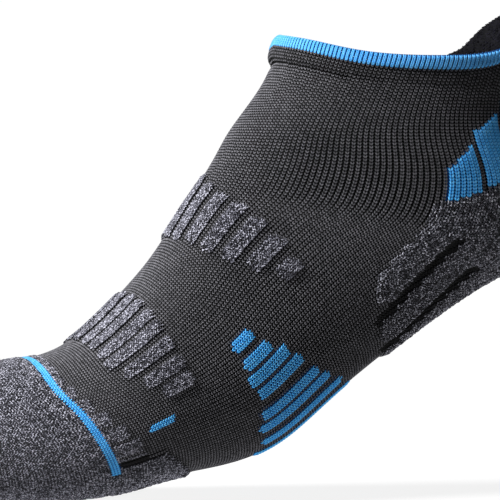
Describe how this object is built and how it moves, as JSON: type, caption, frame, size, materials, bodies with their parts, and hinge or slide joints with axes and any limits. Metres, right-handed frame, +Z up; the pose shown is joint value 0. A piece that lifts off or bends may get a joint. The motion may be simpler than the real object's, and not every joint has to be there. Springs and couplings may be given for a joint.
{
  "type": "low-cut running sock",
  "caption": "Low-cut running sock, filled out as worn on tiptoe: knitted tube with a padded heel tab, ribbed instep, striped arch, terry heel, sole and toe.",
  "frame": {"origin": "the middle of the ankle opening to within 2 mm, where the leg or foot form that holds the sock enters it", "axes": "+X back towards the heel and -X towards the toe, -Y the outer side of a left foot, +Z up the leg; the foot is held on tiptoe, so the sole slopes down from heel to ball"},
  "size_m": [0.244, 0.102, 0.1855],
  "materials": {
    "charcoal_knit": "fine plain knit in charcoal yarn, matt",
    "black_terry": "black looped terry, matt",
    "elastic": "covered elastic yarn",
    "blue_yarn": "bright blue ribbed knit with a slight sheen",
    "heather_terry": "dark grey heather terry, flecked",
    "light_heather_terry": "mid grey heather knit, flecked",
    "seam_thread": "linked seam in dark thread"
  },
  "bodies": {
    "sock": {"achilles_bar_inner_1": "blue_yarn", "achilles_bar_inner_2": "blue_yarn", "achilles_bar_inner_3": "blue_yarn", "achilles_bar_outer_1": "blue_yarn", "achilles_bar_outer_2": "blue_yarn", "achilles_bar_outer_3": "blue_yarn", "arch_stripe_1": "blue_yarn", "arch_stripe_2": "blue_yarn", "arch_stripe_3": "blue_yarn", "arch_stripe_4": "blue_yarn", "arch_stripe_5": "blue_yarn", "arch_stripe_6": "blue_yarn", "arch_stripe_7": "blue_yarn", "arch_stripe_8": "blue_yarn", "arch_stripes_inner": "blue_yarn", "cuff_band": "charcoal_knit", "cuff_edge": "blue_yarn", "cuff_elastic": "elastic", "forefoot_pad": "heather_terry", "heel_cup": "heather_terry", "lower_rib_01": "light_heather_terry", "lower_rib_02": "light_heather_terry", "lower_rib_03": "light_heather_terry", "lower_rib_04": "light_heather_terry", "lower_rib_05": "light_heather_terry", "lower_rib_06": "light_heather_terry", "lower_rib_07": "light_heather_terry", "lower_rib_08": "light_heather_terry", "lower_rib_09": "light_heather_terry", "lower_rib_10": "light_heather_terry", "lower_rib_11": "light_heather_terry", "lower_rib_12": "light_heather_terry", "lower_rib_13": "light_heather_terry", "lower_rib_14": "light_heather_terry", "lower_rib_15": "light_heather_terry", "main_knit_foot": "charcoal_knit", "main_knit_leg": "charcoal_knit", "main_knit_toe": "charcoal_knit", "side_mark": "blue_yarn", "toe_cap": "light_heather_terry", "toe_seam": "seam_thread", "toe_stripe": "blue_yarn", "toe_transition": "heather_terry", "upper_rib_01": "light_heather_terry", "upper_rib_02": "light_heather_terry", "upper_rib_03": "light_heather_terry", "upper_rib_04": "light_heather_terry", "upper_rib_05": "light_heather_terry", "upper_rib_06": "light_heather_terry", "upper_rib_07": "light_heather_terry", "upper_rib_08": "light_heather_terry", "upper_rib_09": "light_heather_terry", "upper_rib_10": "light_heather_terry", "upper_rib_11": "light_heather_terry", "upper_rib_12": "light_heather_terry", "upper_rib_13": "light_heather_terry"},
    "heel_tab": {"heel_tab_lining": "black_terry", "heel_tab_pad": "black_terry", "heel_tab_cover": "charcoal_knit", "heel_tab_edge": "blue_yarn"}
  },
  "joints": [
    {"name": "heel_tab_fold", "type": "hinge", "parent": "sock", "child": "heel_tab", "pos_m": [0.05298, 0, 0.00168], "axis": [0, 1, 0], "range_deg": [0, 75], "stiffness_Nm_per_rad": 0.004}
  ]
}
